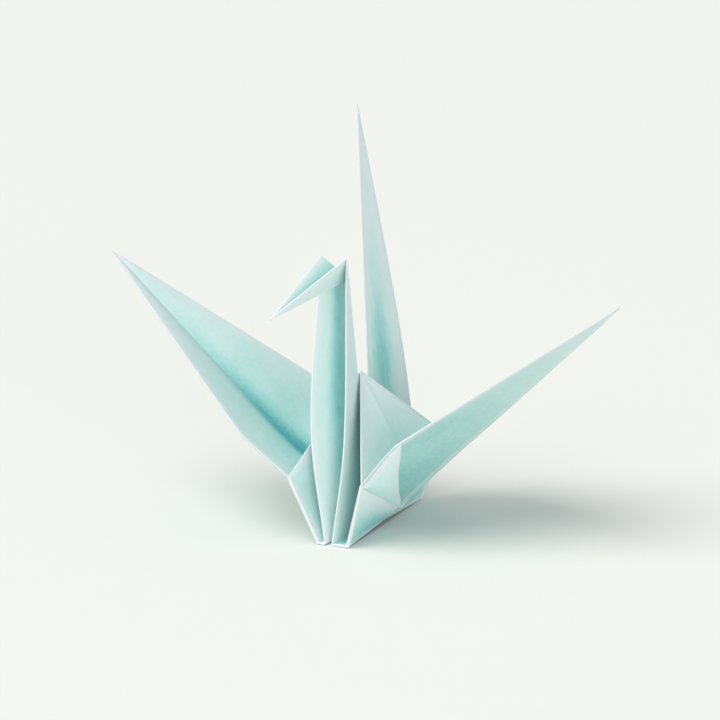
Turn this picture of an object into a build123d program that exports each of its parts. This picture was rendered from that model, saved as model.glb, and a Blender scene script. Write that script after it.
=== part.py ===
# Origami crane folded from one square sheet of paper.
# Millimetres, +Z up. The origin is on the floor under the middle of the crane's outline.
# The neck is on the -Y side, the tail on the +Y side, and the wings spread along X.
# The points below are measured from the middle of the body, and PLACE moves the whole at the end.
import os
from math import radians, tan

from build123d import *

# ---- the sheet ----
SHEET_SIDE = 150.0          # side of the uncut square
POINT = SHEET_SIDE / 2      # length of each long point: a wing, the neck or the tail
PLY_BODY = 0.70             # the stacked layers of the body wall, pressed together
PLY_WING = 0.50             # wing face and the two turned-in strips below it
PLY_FLAP = 0.45             # small folded flaps beside the body
PLY_HUMP = 0.40             # the back, one layer and its roll at the folds
PLY_LEG = 0.60              # a neck or tail half with its turned-in strips
LAP = 0.20                  # how far a panel runs on through a fold, so that the fold is closed
MITRE_LIMIT = 2.2           # a corner that would reach out further than this many laps is cut short

# ---- the body: mirror image left and right ----
BACK_HEIGHT = POINT * tan(radians(22.5))    # the middle of the sheet, top of the back
FOOT_Y = POINT * tan(radians(11.25))        # half the length of the bottom edge
SHOULDER_X = 8.2            # where wing, back and neck side meet
SHOULDER_NECK = (-16.0, 13.6)
SHOULDER_TAIL = (16.6, 13.6)
FOOT_X_NECK = 3.3           # half the gap between the two feet
FOOT_X_TAIL = 2.2
FOOT_Z = 0.25               # middle of the layers above the floor
BOTTOM_X = 2.8              # the middle of each wall's lower edge stands out from the keel,
BOTTOM_Z = 1.0              # which leaves the hole that the body is blown up through
KEEL_Y = 0.6                # the neck and tail spines start this far from the middle
CREASE_X = 10.6             # where the wing's centre crease leaves the body wall
CREASE_Z = 10.0
FLAP_X = 6.4                # lower corner of the folded flap, low on the wall
FLAP_Z = 3.9

# ---- the wings ----
RIGHT_NECK_CORNER = (17.3, -16.8, 23.0)
RIGHT_TAIL_CORNER = (18.6, 19.6, 20.0)
RIGHT_CREASE = (21.6, 0.6, 17.4)
RIGHT_TIP = (58.2, 1.4, 49.0)
LEFT_NECK_CORNER = (-17.4, -17.8, 22.2)
LEFT_TAIL_CORNER = (-18.8, 20.8, 18.4)
LEFT_CREASE = (-21.4, 1.0, 17.2)
LEFT_TIP = (-57.4, 3.2, 49.2)

# ---- the neck and head ----
NECK_FOOT_X = {1: -0.1, -1: -1.9}                            # right and left front corners, on the floor
NECK_BOW = {1: (2.8, -11.8, 22.0), -1: (-4.5, -12.2, 24.0)}  # the front edges swell at half height
NAPE = (0.0, -1.7, 50.3)    # the fold on the neck's spine
BEAK = (-2.2, -27.3, 49.6)
NECK_GAP_TOP = 5.8          # how far the neck's two halves stand apart at the head
HEAD_TOP_Y = -6.3
HEAD_TOP_Z = 56.0

# ---- the tail ----
TAIL_TIP = (-9.6, 22.0, 78.0)

# the wing tips, the beak and the tail's tip set the outline, and the origin is under its middle
PLACE = Pos(-(RIGHT_TIP[0] + LEFT_TIP[0]) / 2, -(BEAK[1] + TAIL_TIP[1]) / 2, 0)


def panel(points, ply):
    """One flat panel of layers: the points lie in the middle of the thickness."""
    corners = [Vector(*p) for p in points]
    normal = (corners[1] - corners[0]).cross(corners[2] - corners[0]).normalized()
    middle = sum(corners, Vector(0, 0, 0)) * (1 / len(corners))
    plane = Plane(origin=middle, x_dir=(corners[1] - corners[0]).normalized(), z_dir=normal)
    outline = [plane.to_local_coords(c) for c in corners]
    wire = Polyline(*[(p.X, p.Y, 0) for p in outline], close=True)
    grown = grow(wire.vertices())
    face = make_face(Polyline(*[(x, y, 0) for x, y in grown], close=True).edges())
    plate = extrude(face, amount=ply / 2, both=True)
    return plane.location * plate


def grow(vertices):
    """Move each side of a convex outline out by LAP and cut long mitres short."""
    flat = [Vector(v.X, v.Y, 0) for v in vertices]
    count = len(flat)
    area = sum(flat[i].X * flat[(i + 1) % count].Y - flat[(i + 1) % count].X * flat[i].Y
               for i in range(count))
    if area < 0:
        flat.reverse()
    result = []
    for i in range(count):
        before = (flat[i] - flat[i - 1]).normalized()
        after = (flat[(i + 1) % count] - flat[i]).normalized()
        out_before = Vector(before.Y, -before.X, 0)
        out_after = Vector(after.Y, -after.X, 0)
        bisector = (out_before + out_after).normalized()
        reach = LAP / bisector.dot(out_after)
        if reach <= MITRE_LIMIT * LAP:
            corner = flat[i] + bisector * reach
            result.append((corner.X, corner.Y))
            continue
        # a sharp point gets a short blunt end in place of a long mitre
        for side, along in ((out_before, before), (out_after, after * -1)):
            corner = flat[i] + side * LAP + along * LAP
            result.append((corner.X, corner.Y))
    return result


def body_panels(side, end):
    """Quarter of the body: side is 1 right or -1 left, end is 1 tail or -1 neck."""
    shoulder_y, shoulder_z = SHOULDER_NECK if end < 0 else SHOULDER_TAIL
    foot_x = FOOT_X_NECK if end < 0 else FOOT_X_TAIL
    top = (0, 0, BACK_HEIGHT)
    keel = (0, KEEL_Y * end, FOOT_Z)
    bottom = (BOTTOM_X * side, 0, BOTTOM_Z)
    shoulder = (SHOULDER_X * side, shoulder_y, shoulder_z)
    foot = (foot_x * side, FOOT_Y * end, FOOT_Z)
    crease = (CREASE_X * side, 0, CREASE_Z)
    return [
        panel([top, shoulder, crease], PLY_HUMP),
        panel([crease, shoulder, bottom], PLY_BODY),
        panel([shoulder, foot, bottom], PLY_BODY),
        panel([top, keel, shoulder], PLY_HUMP),
        panel([keel, foot, shoulder], PLY_BODY),
    ]


def wing_panels(side, neck_corner, tail_corner, crease_out, tip):
    """One wing, its turned-in strips running on below it to the wall, and its two small flaps."""
    panels = []
    crease_in = (CREASE_X * side, 0, CREASE_Z)
    flap_low = (FLAP_X * side, 0, FLAP_Z)
    for corner, shoulder in ((neck_corner, SHOULDER_NECK), (tail_corner, SHOULDER_TAIL)):
        root = (SHOULDER_X * side, shoulder[0], shoulder[1])
        panels.append(panel([crease_in, root, crease_out], PLY_WING))
        panels.append(panel([root, corner, crease_out], PLY_WING))
        panels.append(panel([corner, tip, crease_out], PLY_WING))
        panels.append(panel([root, corner, flap_low], PLY_FLAP))
        panels.append(panel([corner, crease_out, flap_low], PLY_WING))
    return panels


def neck_panels(side):
    """One half of the neck channel, its open fold on the floor, and half of the head."""
    keel = (0, -KEEL_Y, FOOT_Z)
    wall_foot = (FOOT_X_NECK * side, -FOOT_Y, FOOT_Z)
    neck_foot = (NECK_FOOT_X[side], -FOOT_Y, FOOT_Z)
    bow = NECK_BOW[side]
    head_top = (NECK_GAP_TOP / 2 * side, HEAD_TOP_Y, HEAD_TOP_Z)
    return [
        panel([keel, wall_foot, neck_foot], PLY_LEG),
        panel([keel, neck_foot, bow], PLY_LEG),
        panel([keel, bow, NAPE], PLY_LEG),
        panel([bow, head_top, NAPE], PLY_LEG),
        panel([NAPE, head_top, BEAK], PLY_LEG),
    ]


def tail_panels(side):
    """One half of the tail channel."""
    keel = (0, KEEL_Y, FOOT_Z)
    foot = (FOOT_X_TAIL * side, FOOT_Y, FOOT_Z)
    return [panel([keel, foot, TAIL_TIP], PLY_LEG)]


def folded_sheet():
    """The whole crane: every panel joined to its neighbours at the folds."""
    panels = []
    for side in (1, -1):
        for end in (-1, 1):
            panels += body_panels(side, end)
        panels += neck_panels(side)
        panels += tail_panels(side)
    panels += wing_panels(1, RIGHT_NECK_CORNER, RIGHT_TAIL_CORNER, RIGHT_CREASE, RIGHT_TIP)
    panels += wing_panels(-1, LEFT_NECK_CORNER, LEFT_TAIL_CORNER, LEFT_CREASE, LEFT_TIP)
    joined = panels[0]
    for other in panels[1:]:
        joined = joined + other
    # the bottom folds are pressed flat where they meet the floor
    below = Pos(0, 0, -SHEET_SIDE / 2) * Box(2 * SHEET_SIDE, 2 * SHEET_SIDE, SHEET_SIDE)
    return PLACE * (joined - below)


os.makedirs("parts", exist_ok=True)
sheet = folded_sheet()
print("solids", len(sheet.solids()), "volume", round(sheet.volume, 1), "valid", sheet.is_valid)
print("box", sheet.bounding_box(), "centre of mass", sheet.center(CenterOf.MASS))
export_step(sheet, "parts/folded_sheet.step")
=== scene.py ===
"""Looks of the origami crane: one square of thin aqua paper, standing on a pale floor.

The lengths below are millimetres and become metres when a mesh is made.
"""
import math
import random

import bpy
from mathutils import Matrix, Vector, noise

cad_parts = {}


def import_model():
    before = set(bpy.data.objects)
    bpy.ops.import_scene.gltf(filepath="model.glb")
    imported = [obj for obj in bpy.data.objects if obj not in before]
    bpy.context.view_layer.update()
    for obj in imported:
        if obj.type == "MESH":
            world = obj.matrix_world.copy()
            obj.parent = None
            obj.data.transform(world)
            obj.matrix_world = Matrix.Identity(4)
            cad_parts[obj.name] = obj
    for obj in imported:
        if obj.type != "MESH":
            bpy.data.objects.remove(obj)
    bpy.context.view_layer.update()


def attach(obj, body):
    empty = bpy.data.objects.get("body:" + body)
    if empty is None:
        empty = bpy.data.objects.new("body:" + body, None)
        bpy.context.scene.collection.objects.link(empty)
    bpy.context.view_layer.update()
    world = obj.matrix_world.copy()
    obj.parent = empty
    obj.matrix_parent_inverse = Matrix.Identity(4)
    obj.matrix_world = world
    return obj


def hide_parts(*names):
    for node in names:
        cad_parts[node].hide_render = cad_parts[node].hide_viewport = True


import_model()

# ---- the same key points as the construction, measured from the middle of the body ----
BACK = Vector((0, 0, 31.1))
SHOULDER = {"neck": Vector((8.2, -16.0, 13.6)), "tail": Vector((8.2, 16.6, 13.6))}
FOOT = {"neck": Vector((3.3, -14.92, 0.3)), "tail": Vector((2.2, 14.92, 0.3))}
KEEL = {"neck": Vector((0, -0.6, 0.3)), "tail": Vector((0, 0.6, 0.3))}
BOTTOM = Vector((2.8, 0, 1.0))
CREASE_ROOT = Vector((10.6, 0, 10.0))
FLAP_LOW = Vector((6.4, 0, 3.9))
WINGS = {
    1: {"neck": Vector((17.3, -16.8, 23.0)), "tail": Vector((18.6, 19.6, 20.0)),
        "crease": Vector((21.6, 0.6, 17.4)), "tip": Vector((58.2, 1.4, 49.0))},
    -1: {"neck": Vector((-17.4, -17.8, 22.2)), "tail": Vector((-18.8, 20.8, 18.4)),
         "crease": Vector((-21.4, 1.0, 17.2)), "tip": Vector((-57.4, 3.2, 49.2))},
}
NECK_FOOT = {1: Vector((-0.1, -14.92, 0.3)), -1: Vector((-1.9, -14.92, 0.3))}
NECK_BOW = {1: Vector((2.8, -11.8, 22.0)), -1: Vector((-4.5, -12.2, 24.0))}
NAPE = Vector((0.0, -1.7, 50.3))
BEAK = Vector((-2.2, -27.3, 49.6))
HEAD_TOP = Vector((2.9, -6.3, 56.0))
TAIL_TIP = Vector((-9.6, 22.0, 78.0))
# the origin of the frame is under the middle of the outline
PLACE = Vector((-(WINGS[1]["tip"].x + WINGS[-1]["tip"].x) / 2, -(BEAK.y + TAIL_TIP.y) / 2, 0))

PAPER = 0.10        # one ply of paper
FOLD = 0.16         # radius of a pressed fold


def side_of(point, side):
    """The point on the right (1) or its mirror image on the left (-1)."""
    return Vector((point.x * side, point.y, point.z))


def smooth(t):
    """Ease from 0 to 1."""
    t = min(1.0, max(0.0, t))
    return t * t * (3 - 2 * t)


def run(points, count, round_off=1.0):
    """Evenly spaced points along a line through the given ones, its corners rounded."""
    ends = [points[0] * 2 - points[1]] + list(points) + [points[-1] * 2 - points[-2]]
    dense = []
    for i in range(1, len(ends) - 2):
        a, b, c, d = ends[i - 1], ends[i], ends[i + 1], ends[i + 2]
        for k in range(40):
            t = k / 40
            bent = 0.5 * (2 * b + (c - a) * t + (2 * a - 5 * b + 4 * c - d) * t * t
                          + (3 * b - a - 3 * c + d) * t ** 3)
            dense.append(b.lerp(c, t).lerp(bent, round_off))
    dense.append(points[-1].copy())
    lengths = [0.0]
    for p, q in zip(dense, dense[1:]):
        lengths.append(lengths[-1] + (q - p).length)
    result = []
    at = 0
    for i in range(count):
        want = lengths[-1] * i / (count - 1)
        while at < len(dense) - 2 and lengths[at + 1] < want:
            at += 1
        span = lengths[at + 1] - lengths[at] or 1.0
        result.append(dense[at].lerp(dense[at + 1], (want - lengths[at]) / span))
    return result


class Sheet:
    """Collects thickened grids and fold lines, and makes one object of them."""

    def __init__(self, name):
        self.name = name
        self.points = []
        self.faces = []
        self.edge = []      # millimetres to the nearest fold or cut edge
        # this list holds painted shade per point, 0 pale to 1 deep in a recess, which the shader turns into deeper
        # teal
        self.painted_shade = []      # 0 pale, 1 deep in a recess

    def grid(self, rows, edge, painted_shade, ply=PAPER):
        """Adds a grid of points as paper with two faces and a rim."""
        height, width = len(rows), len(rows[0])
        base = len(self.points)
        for lift in (0.5, -0.5):
            for i in range(height):
                for j in range(width):
                    normal = grid_normal(rows, i, j)
                    self.points.append(rows[i][j] + normal * (ply * lift))
                    self.edge.append(edge[i][j])
                    self.painted_shade.append(painted_shade[i][j])
        under = base + height * width
        for i in range(height - 1):
            for j in range(width - 1):
                a = i * width + j
                quad = (a, a + 1, a + width + 1, a + width)
                self.faces.append(tuple(base + k for k in quad))
                self.faces.append(tuple(under + k for k in reversed(quad)))
        rim = [j for j in range(width)]
        rim += [i * width + width - 1 for i in range(1, height)]
        rim += [(height - 1) * width + j for j in range(width - 2, -1, -1)]
        rim += [i * width for i in range(height - 2, 0, -1)]
        for a, b in zip(rim, rim[1:] + rim[:1]):
            self.faces.append((base + b, base + a, under + a, under + b))

    def fold(self, line, radius=FOLD, painted_shade=0.0, taper=(1.0, 1.0)):
        """Adds the rounded roll of paper along a fold."""
        sides = 8
        base = len(self.points)
        count = len(line)
        for i, p in enumerate(line):
            ahead = (line[min(i + 1, count - 1)] - line[max(i - 1, 0)]).normalized()
            across = ahead.orthogonal().normalized()
            up = ahead.cross(across)
            r = radius * (taper[0] + (taper[1] - taper[0]) * i / (count - 1))
            for k in range(sides):
                a = 2 * math.pi * k / sides
                self.points.append(p + (across * math.cos(a) + up * math.sin(a)) * r)
                self.edge.append(0.0)
                self.painted_shade.append(painted_shade)
        for i in range(count - 1):
            for k in range(sides):
                a = base + i * sides + k
                b = base + i * sides + (k + 1) % sides
                self.faces.append((a, b, b + sides, a + sides))
        self.faces.append(tuple(base + k for k in range(sides - 1, -1, -1)))
        self.faces.append(tuple(base + (count - 1) * sides + k for k in range(sides)))

    def make(self, material):
        mesh = bpy.data.meshes.new(self.name)
        mesh.from_pydata([tuple((p + PLACE) * 0.001) for p in self.points], [], self.faces)
        for label, values in (("edge_mm", self.edge), ("painted_shade", self.painted_shade)):
            layer = mesh.attributes.new(label, "FLOAT", "POINT")
            layer.data.foreach_set("value", values)
        mesh.polygons.foreach_set("use_smooth", [True] * len(mesh.polygons))
        mesh.validate()
        mesh.materials.append(material)
        obj = bpy.data.objects.new(self.name, mesh)
        bpy.context.collection.objects.link(obj)
        mesh.set_sharp_from_angle(angle=math.radians(38))
        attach(obj, "root")
        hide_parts("folded_sheet")
        return obj


def grid_normal(rows, i, j):
    """Normal of a grid at one of its points, also where a side shrinks to a point."""
    height, width = len(rows), len(rows[0])
    for reach in range(1, 4):
        down = rows[min(i + reach, height - 1)][j] - rows[max(i - reach, 0)][j]
        row = i
        if (rows[i][-1] - rows[i][0]).length < 1e-4:
            row = 1 if i == 0 else height - 2
        along = rows[row][min(j + reach, width - 1)] - rows[row][max(j - reach, 0)]
        normal = along.cross(down)
        if normal.length > 1e-9:
            return normal.normalized()
    return Vector((0, 0, 1))


def to_line(point, a, b):
    """Distance from a point to the stretch between two others."""
    span = b - a
    t = (point - a).dot(span) / max(span.length_squared, 1e-9)
    return (point - a - span * min(1.0, max(0.0, t))).length


def facet(sheet, top, bottom, n=22, m=26, bulge=0.0, lift=0.0, painted_shade=None, folds=None, ply=PAPER):
    """A panel between two lines of points. It bulges between its sides and lies lift above them."""
    top = run(top, m, 0.0)
    bottom = run(bottom, m, 0.0)
    rows = [[top[j].lerp(bottom[j], i / (n - 1)) for j in range(m)] for i in range(n)]
    flat = [[grid_normal(rows, i, j) for j in range(m)] for i in range(n)]
    moved, edge, shade = [], [], []
    corners = folds or [(top[0], top[-1]), (bottom[0], bottom[-1]), (top[0], bottom[0]),
                        (top[-1], bottom[-1])]
    for i in range(n):
        u = i / (n - 1)
        moved.append([])
        edge.append([])
        shade.append([])
        for j in range(m):
            v = j / (m - 1)
            swell = bulge * math.sin(math.pi * u) * math.sin(math.pi * v)
            wave = noise.noise(rows[i][j] * 0.09) * 0.18 * math.sin(math.pi * u) * math.sin(math.pi * v)
            moved[i].append(rows[i][j] + flat[i][j] * (swell + wave + lift))
            edge[i].append(min(to_line(rows[i][j], a, b) for a, b in corners))
            shade[i].append(painted_shade(u, v) if painted_shade else 0.4)
    sheet.grid(moved, edge, shade, ply)


# ---- paper ----
def paper(name, glow):
    """Uncoated aqua paper with a fine grain. Its colour carries painted shade, deeper teal in the recesses and
    towards the body, paler at the points, and whiter folds that are partly wear, partly painted highlight.
    """
    material = bpy.data.materials.new(name)
    material.use_nodes = True
    nodes, links = material.node_tree.nodes, material.node_tree.links
    shader = nodes["Principled BSDF"]

    def add(kind, **values):
        node = nodes.new(kind)
        for key, value in values.items():
            if key in node.inputs:
                node.inputs[key].default_value = value
            else:
                setattr(node, key, value)
        return node

    place = add("ShaderNodeTexCoord")
    painted_shade = add("ShaderNodeAttribute", attribute_name="painted_shade")
    edge = add("ShaderNodeAttribute", attribute_name="edge_mm")
    grain = add("ShaderNodeTexNoise", Scale=900.0, Detail=4.0, Roughness=0.65)
    cloud = add("ShaderNodeTexNoise", Scale=70.0, Detail=3.0, Roughness=0.6)
    stretch = add("ShaderNodeMapping")
    stretch.inputs["Scale"].default_value = (2.6, 2.6, 0.7)
    strokes = add("ShaderNodeTexNoise", Scale=420.0, Detail=3.0, Roughness=0.7)
    links.new(place.outputs["Object"], grain.inputs["Vector"])
    links.new(place.outputs["Object"], cloud.inputs["Vector"])
    links.new(place.outputs["Object"], stretch.inputs["Vector"])
    links.new(stretch.outputs["Vector"], strokes.inputs["Vector"])

    def math_node(operation, a, b, clamp=False):
        node = add("ShaderNodeMath", operation=operation, use_clamp=clamp)
        for socket, value in zip(node.inputs, (a, b)):
            if isinstance(value, (int, float)):
                socket.default_value = value
            else:
                links.new(value, socket)
        return node.outputs[0]

    uneven = math_node("MULTIPLY", math_node("SUBTRACT", cloud.outputs["Fac"], 0.5), 0.30)
    stroke = math_node("MULTIPLY", math_node("SUBTRACT", strokes.outputs["Fac"], 0.5), 0.28)
    fine = math_node("MULTIPLY", math_node("SUBTRACT", grain.outputs["Fac"], 0.5), 0.16)
    # painted shade from the points, halved within 1.5 mm of a fold or cut edge as a painted highlight along the
    # edges, plus random tone, stretched strokes and grain
    band = math_node("DIVIDE", edge.outputs["Fac"], 1.5, True)
    shade = math_node("MULTIPLY", painted_shade.outputs["Fac"], math_node("ADD", math_node("MULTIPLY", band, 0.5), 0.5))
    depth = math_node("ADD", shade, math_node("ADD", uneven, math_node("ADD", stroke, fine)), True)
    # the ramp maps this from pale mint to deep teal, so the painted shade shows as deeper teal
    ramp = add("ShaderNodeValToRGB")
    ramp.color_ramp.interpolation = "B_SPLINE"
    stops = [(0.0, (0.91, 0.96, 0.955)), (0.25, (0.76, 0.94, 0.91)), (0.50, (0.53, 0.86, 0.82)),
             (0.78, (0.24, 0.67, 0.66)), (1.0, (0.08, 0.44, 0.48))]
    while len(ramp.color_ramp.elements) < len(stops):
        ramp.color_ramp.elements.new(0.5)
    for element, (position, colour) in zip(ramp.color_ramp.elements, stops):
        element.position = position
        element.color = (*colour, 1)
    links.new(depth, ramp.inputs["Fac"])

    # the fibres break at a fold and show whiter, unevenly along its length; this whitening of folds and cut edges is
    # partly that wear and partly a painted highlight along the edges
    width = math_node("ADD", 0.50, math_node("MULTIPLY", cloud.outputs["Fac"], 0.35))
    near = math_node("SUBTRACT", 1.0, math_node("DIVIDE", edge.outputs["Fac"], width), True)
    wear_and_highlight = math_node("MULTIPLY", near, 0.72)
    whiten = add("ShaderNodeMix", data_type="RGBA")
    links.new(wear_and_highlight, whiten.inputs["Factor"])
    links.new(ramp.outputs["Color"], whiten.inputs["A"])
    whiten.inputs["B"].default_value = (0.86, 0.89, 0.92, 1)
    links.new(whiten.outputs["Result"], shader.inputs["Base Color"])
    shader.inputs["Roughness"].default_value = 0.82
    shader.inputs["Specular IOR Level"].default_value = 0.25
    shader.inputs["Sheen Weight"].default_value = 0.08
    bump = add("ShaderNodeBump", Strength=0.22, Distance=0.00006)
    links.new(math_node("ADD", grain.outputs["Fac"], strokes.outputs["Fac"]), bump.inputs["Height"])
    links.new(bump.outputs["Normal"], shader.inputs["Normal"])

    # thin paper lets a little light through
    through = add("ShaderNodeBsdfTranslucent")
    links.new(whiten.outputs["Result"], through.inputs["Color"])
    blend = add("ShaderNodeMixShader", Fac=glow)
    links.new(shader.outputs["BSDF"], blend.inputs[1])
    links.new(through.outputs["BSDF"], blend.inputs[2])
    links.new(blend.outputs["Shader"], nodes["Material Output"].inputs["Surface"])
    return material


THIN = paper("aqua paper, few layers", 0.30)
STACKED = paper("aqua paper, many layers", 0.08)


# ---- the wings ----
def wing_border(side, end, count):
    """The folded edge of a wing from the shoulder to the tip."""
    spots = WINGS[side]
    return run([side_of(SHOULDER[end], side), spots[end], spots["tip"]], count, 0.14)


def wing_surface(side, centre, border, across, swell):
    """Grid of points between the two folded edges of a wing and its centre line."""
    rows = []
    for i, middle in enumerate(centre):
        u = i / (len(centre) - 1)
        row = []
        for v in across:
            edge = border["neck" if v < 0 else "tail"][i]
            rise = swell * math.sin(math.pi * abs(v)) * math.sin(math.pi * u) ** 0.6
            row.append(middle.lerp(edge, abs(v)) + Vector((0, 0, rise)))
        rows.append(row)
    return rows


def wing(side):
    """One wing: a smooth upper face with a centre crease, two strips turned in below it."""
    spots = WINGS[side]
    count, half = 46, 13
    centre = run([side_of(CREASE_ROOT, side), spots["crease"], spots["tip"]], count, 0.9)
    border = {end: wing_border(side, end, count) for end in ("neck", "tail")}
    # below, the strips leave the crease and run straight on to the wall
    turn = min(range(count), key=lambda k: (centre[k] - spots["crease"]).length)
    low = side_of(FLAP_LOW, side)
    under = [low.lerp(centre[turn], k / turn) if k < turn else centre[k] for k in range(count)]
    across = [-1 + k / half for k in range(2 * half + 1)]
    slit = [-1 + k / half for k in range(half)] + [-0.012, 0.012] + [k / half for k in range(1, half + 1)]
    top = wing_surface(side, centre, border, across, 0.55)
    below = wing_surface(side, under, border, slit, 0.35)
    sheet = Sheet("wing_right" if side > 0 else "wing_left")
    rows, edge, painted_shade = [], [], []
    for i in range(count):
        u = i / (count - 1)
        lift = FOLD * min(1.0, (1 - u) * 9 + 0.12)
        width = (border["neck"][i] - border["tail"][i]).length / 2
        row, near, deep = [], [], []

        def put(point, shade, distance):
            row.append(point)
            deep.append(shade)
            near.append(distance)

        def strip(indices):
            for j in indices:
                away = grid_normal(below, i, j)
                away = -away if away.z > 0 else away
                reach = (1 - abs(slit[j])) * width if abs(slit[j]) > 0.1 else 0.4
                # painted shade on the under strips, deeper towards the body
                put(below[i][j] + away * lift, 0.10 + 0.56 * (1 - u) ** 1.3, reach)

        def roll(column, start):
            """Round the folded edge, from the under face up (start 1) or from the top down (-1)."""
            corner = top[i][column]
            out = corner - centre[i]
            out = out.normalized() if out.length > 1e-6 else Vector((0, start, 0))
            rise = grid_normal(top, i, column)
            rise = -rise if rise.z < 0 else rise
            for k in range(1, 6):
                a = math.pi * k / 6
                # the rolled folded edge is painted pale, a painted highlight on the fold
                put(corner + (out * math.sin(a) - rise * (start * math.cos(a))) * lift, 0.05, 0.0)

        strip(range(half, -1, -1))
        roll(0, 1)
        for j, v in enumerate(across):
            rise = grid_normal(top, i, j)
            rise = -rise if rise.z < 0 else rise
            # painted shade on the upper face: deeper near the body and in the valley of the centre crease
            crease = math.exp(-(abs(v) * width / 2.6) ** 2)
            shade = 0.05 + 0.50 * (1 - u) ** 0.8 * (1 - abs(v) * 0.45) + 0.58 * crease * (1 - smooth(u * 1.1))
            put(top[i][j] + rise * lift, shade, (1 - abs(v)) * width)
        roll(2 * half, -1)
        strip(range(2 * half + 1, half, -1))
        rows.append(row)
        edge.append(near)
        painted_shade.append(deep)
    sheet.grid(rows, edge, painted_shade)
    return sheet.make(THIN)


def flap(sheet, side, end, shoulder, low, corner):
    """The small folded triangle between wing and wall. Its free edge is drawn in by the wing."""
    m, n = 26, 22
    line = wing_border(side, end, 80)
    reach = min(range(80), key=lambda k: (line[k] - corner).length) + 1
    upper = run(line[:reach + 1], m, 0)
    away = Vector((side, 0, -0.9)).normalized()
    rows, edge, painted_shade = [], [], []
    for i in range(n):
        u = i / (n - 1)
        rows.append([])
        edge.append([])
        painted_shade.append([])
        for j in range(m):
            v = j / (m - 1)
            p = upper[j].lerp(shoulder.lerp(low, v), u)
            swell = 0.75 * math.sin(math.pi * u) * (1 - v) * v * 4 - 0.35 * math.sin(math.pi * u) * v ** 3
            rows[i].append(p + away * (0.34 + swell))
            edge[i].append(min(to_line(p, low, corner), to_line(p, shoulder, corner)))
            # painted shade, deeper where the flap meets the wall and towards the shoulder
            painted_shade[i].append(0.12 + 0.20 * u + 0.20 * (1 - v))
    sheet.grid(rows, edge, painted_shade, 0.2)


# ---- the body ----
def body():
    sheet = Sheet("body")
    for side in (1, -1):
        crease = side_of(CREASE_ROOT, side)
        bottom = side_of(BOTTOM, side)
        low = side_of(FLAP_LOW, side)
        for end in ("neck", "tail"):
            turn = side if end == "neck" else -side
            shoulder = side_of(SHOULDER[end], side)
            foot = side_of(FOOT[end], side)
            keel = KEEL[end]
            corner = WINGS[side][end]
            # the back
            # painted shade on the back, deeper down the slope away from the ridge
            facet(sheet, [BACK, BACK], [crease, shoulder], bulge=-0.5 * turn, lift=-0.05 * turn,
                  painted_shade=lambda u, v: 0.06 + 0.36 * smooth(u * 1.15) * (1 - 0.6 * v),
                  folds=[(BACK, shoulder)])
            # the wall behind the folded flap, then the open part of the wall below it, with painted shade: even mid
            # teal behind the flap, deeper towards the floor below it
            facet(sheet, [crease, crease], [low, shoulder], ply=0.25, painted_shade=lambda u, v: 0.5, folds=[(low, shoulder)])
            facet(sheet, [low, shoulder], [bottom, foot], bulge=-0.15 * turn, ply=0.25,
                  painted_shade=lambda u, v: 0.10 + 0.78 * smooth(u) * (1 - 0.45 * v),
                  folds=[(low, shoulder), (shoulder, foot), (foot, bottom)])
            # the folded flap between wing and wall
            flap(sheet, side, end, shoulder, low, corner)
            # the inner side that folds in to the keel beside neck or tail, with painted shade deeper towards the
            # keel
            facet(sheet, [BACK, BACK], [keel, shoulder], bulge=0.35 * turn,
                  painted_shade=lambda u, v: 0.34 + 0.46 * (1 - v), folds=[(BACK, shoulder)])
            facet(sheet, [keel, shoulder], [keel, foot], bulge=0.15 * turn, ply=0.2,
                  painted_shade=lambda u, v: 0.34 + 0.46 * (1 - v), folds=[(shoulder, foot)])
            if end == "neck":
                # painted shadow: nearly the deepest teal in the narrow gap at the foot of the neck
                facet(sheet, [keel, keel], [foot, NECK_FOOT[side]], painted_shade=lambda u, v: 1.0 - 0.2 * u, ply=0.3)
                sheet.fold(run([foot, NECK_FOOT[side]], 8, 0), 0.26)
            # the fold rolls carry little painted shade and are whitened in the shader as edges, a painted highlight
            sheet.fold(run([BACK, shoulder], 20, 0), 0.14)
            sheet.fold(run([shoulder, foot], 12, 0), 0.36)
            sheet.fold(run([low, shoulder], 12, 0), 0.17)
            sheet.fold(run([foot, keel], 12, 0), 0.22, 0.3)
            sheet.fold(run([foot, bottom], 12, 0), 0.16, 0.1)
            sheet.fold(run([bottom, low], 12, 0), 0.14, 0.4)
    return sheet.make(STACKED)


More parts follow.
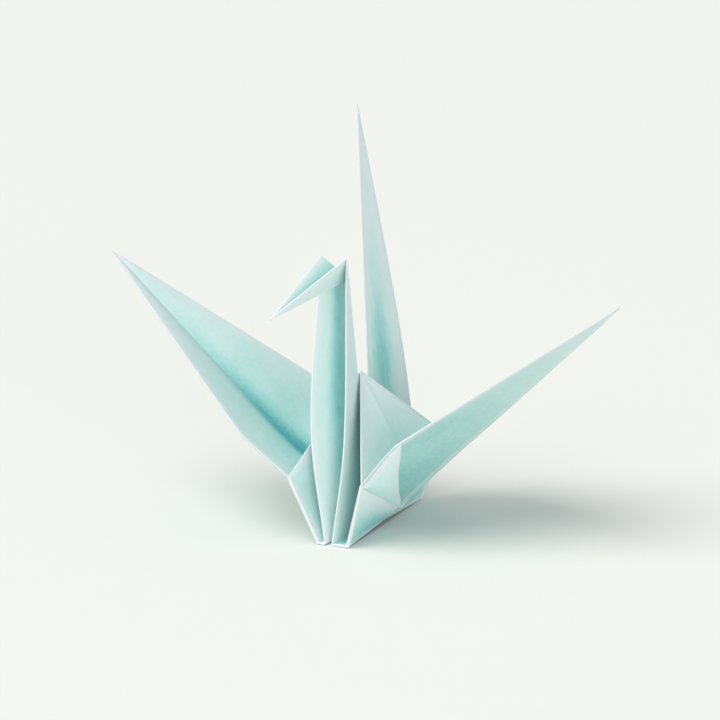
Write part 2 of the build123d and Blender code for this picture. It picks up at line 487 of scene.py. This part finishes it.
# ---- neck, head and tail ----
def channel(name, spine, fronts, inset, deep, gap=0.20, stop=0.14):
    """A narrowed point folded along its spine, its turned-in strips lying inside."""
    sheet = Sheet(name)
    count = len(spine)
    half = 10
    rows, edge, painted_shade = [], [], []
    for i in range(count):
        u = i / (count - 1)
        row, near, shade = [], [], []
        left, right, mid = fronts[-1][i], fronts[1][i], spine[i]
        width = max((right - mid).length, (left - mid).length)
        inward = ((left + right) / 2 - mid)
        inward = inward.normalized() if inward.length > 1e-6 else Vector((0, -1, 0))
        slim = min(1.0, (1 - u) * 8 + 0.15)

        def leaf(front, t, depth):
            out = (front - mid)
            flat = out.cross(spine[min(i + 1, count - 1)] - spine[max(i - 1, 0)])
            flat = flat.normalized() if flat.length > 1e-9 else Vector((1, 0, 0))
            other = left if front is right else right
            if flat.dot(other - front) < 0:
                flat = -flat
            return mid + out * t + flat * depth * slim

        # inside strips and outer faces take painted shade from deep(); the rolled front edges are painted pale as a
        # highlight
        for k in range(half + 1):
            t = stop + (1 - stop) * k / half
            row.append(leaf(left, t, gap))
            near.append(min((1 - t) * width, (t - stop) * width + 0.2))
            shade.append(deep(u, t, True))
        for a in (0.25, 0.5, 0.75):
            out = (left - mid).normalized() if width > 1e-3 else inward
            row.append(leaf(left, 1, gap * (0.5 + 0.5 * math.cos(math.pi * a))) + out * math.sin(math.pi * a) * gap * 0.5 * slim)
            near.append(0.0)
            shade.append(0.05)
        for k in range(half, -1, -1):
            t = k / half
            row.append(leaf(left, t, 0))
            near.append(min((1 - t), t) * width)
            shade.append(deep(u, t, False))
        for k in range(1, half + 1):
            t = k / half
            row.append(leaf(right, t, 0))
            near.append(min((1 - t), t) * width)
            shade.append(deep(u, t, False))
        for a in (0.25, 0.5, 0.75):
            out = (right - mid).normalized() if width > 1e-3 else inward
            row.append(leaf(right, 1, gap * (0.5 - 0.5 * math.cos(math.pi * a))) + out * math.sin(math.pi * a) * gap * 0.5 * slim)
            near.append(0.0)
            shade.append(0.05)
        for k in range(half, -1, -1):
            t = stop + (1 - stop) * k / half
            row.append(leaf(right, t, gap))
            near.append(min((1 - t) * width, (t - stop) * width + 0.2))
            shade.append(deep(u, t, True))
        rows.append(row)
        edge.append(near)
        painted_shade.append(shade)
    sheet.grid(rows, edge, painted_shade, 0.14)
    return sheet


def neck():
    count = 44
    spine = run([KEEL["neck"], NAPE], count, 0)
    fronts = {s: run([NECK_FOOT[s], NECK_BOW[s], side_of(HEAD_TOP, s)], count, 1.0) for s in (1, -1)}

    # painted shade: inside the channel a dark band halfway across, deeper by the spine and low down; outside, deeper
    # low down by the spine
    def deep(u, t, inside):
        if inside:
            return 0.16 + 0.44 * math.exp(-((t - 0.43) / 0.19) ** 2) + 0.22 * (1 - smooth(t * 3)) + 0.10 * (1 - u)
        return 0.08 + 0.22 * (1 - u) * (1 - t)

    sheet = channel("neck", spine, fronts, 0.2, deep)
    sheet.fold(spine, 0.2)
    return sheet.make(STACKED)


def head():
    count = 26
    spine = run([NAPE, BEAK], count, 0)
    fronts = {s: run([side_of(HEAD_TOP, s), BEAK], count, 0) for s in (1, -1)}

    # painted shade, deeper by the spine inside the head and towards the nape outside
    def deep(u, t, inside):
        if inside:
            return 0.24 + 0.40 * (1 - t)
        return 0.10 + 0.22 * (1 - t) * (1 - u)

    sheet = channel("head", spine, fronts, 0.2, deep)
    sheet.fold(spine, 0.18, 0.1, (1.0, 0.35))
    return sheet.make(STACKED)


def tail():
    count = 46
    spine = run([KEEL["tail"], TAIL_TIP], count, 0)
    fronts = {}
    for side in (1, -1):
        foot = side_of(FOOT["tail"], side)
        fronts[side] = run([foot, foot.lerp(TAIL_TIP, 0.42) + Vector((1.1 * side, 0.5, 0)), TAIL_TIP], count, 1.0)

    # painted shade: a dark band on the outer face a third of the way up, and inside deeper by the spine towards the
    # base
    def deep(u, t, inside):
        if inside:
            return 0.20 + 0.50 * (1 - smooth(t * 1.15)) * (1 - u)
        return 0.06 + 0.60 * math.exp(-((u - 0.36) / 0.20) ** 2) * math.exp(-((t - 0.42) / 0.28) ** 2)

    sheet = channel("tail", spine, fronts, 0.2, deep)
    sheet.fold(spine, 0.2, 0.0, (1.0, 0.35))
    return sheet.make(THIN)


wing(1)
wing(-1)
body()
neck()
head()
tail()


# ---- floor, light and camera ----
def floor():
    material = bpy.data.materials.new("floor")
    material.use_nodes = True
    shader = material.node_tree.nodes["Principled BSDF"]
    shader.inputs["Base Color"].default_value = (0.80, 0.81, 0.775, 1)
    shader.inputs["Roughness"].default_value = 0.9
    shader.inputs["Specular IOR Level"].default_value = 0.1
    mesh = bpy.data.meshes.new("floor")
    size = 12.0
    mesh.from_pydata([(-size, -size, 0), (size, -size, 0), (size, size, 0), (-size, size, 0)], [], [(0, 1, 2, 3)])
    mesh.materials.append(material)
    obj = bpy.data.objects.new("floor", mesh)
    bpy.context.collection.objects.link(obj)


def light(name, place, aim, size, power, colour):
    data = bpy.data.lights.new(name, "AREA")
    data.shape = "DISK"
    data.size = size
    data.energy = power
    data.color = colour
    obj = bpy.data.objects.new(name, data)
    obj.location = place
    obj.rotation_mode = "QUATERNION"
    obj.rotation_quaternion = (Vector(aim) - Vector(place)).to_track_quat("-Z", "Y")
    bpy.context.collection.objects.link(obj)


def camera():
    """A long lens from the front right, a little above."""
    azimuth, height, tilt = math.radians(32.2), math.radians(17.7), math.radians(4.6)
    back = Vector((math.sin(azimuth) * math.cos(height), -math.cos(azimuth) * math.cos(height),
                   math.sin(height)))
    right = Vector((math.cos(azimuth), math.sin(azimuth), 0))
    up = back.cross(right)
    rolled_right = right * math.cos(tilt) - up * math.sin(tilt)
    rolled_up = right * math.sin(tilt) + up * math.cos(tilt)
    distance = 1.5
    aim = (Vector((0, 0, 30)) + PLACE) * 0.001 + rolled_up * 0.00312 - rolled_right * 0.00016
    data = bpy.data.cameras.new("camera")
    data.sensor_width = 36
    data.lens = 36 * distance / (720 / 5.157 * 0.001)
    data.clip_start = 0.01
    data.clip_end = 20
    obj = bpy.data.objects.new("camera", data)
    obj.location = aim + back * distance
    obj.rotation_mode = "QUATERNION"
    from mathutils import Matrix
    obj.rotation_quaternion = Matrix((rolled_right, rolled_up, back)).transposed().to_quaternion()
    bpy.context.collection.objects.link(obj)
    bpy.context.scene.camera = obj


def world():
    made = bpy.data.worlds.new("studio")
    made.use_nodes = True
    sky = made.node_tree.nodes["Background"]
    sky.inputs["Color"].default_value = (0.95, 0.97, 1.0, 1)
    sky.inputs["Strength"].default_value = 0.60
    bpy.context.scene.world = made


floor()
world()
light("key", (-1.61, -2.47, 5.33), (0, 0, 0.02), 5.46, 264, (1.0, 0.985, 0.95))
light("fill", (5.72, -4.68, 1.09), (0, 0, 0.02), 3.9, 149, (0.95, 0.97, 1.0))
camera()
scene = bpy.context.scene
scene.view_settings.view_transform = "Standard"
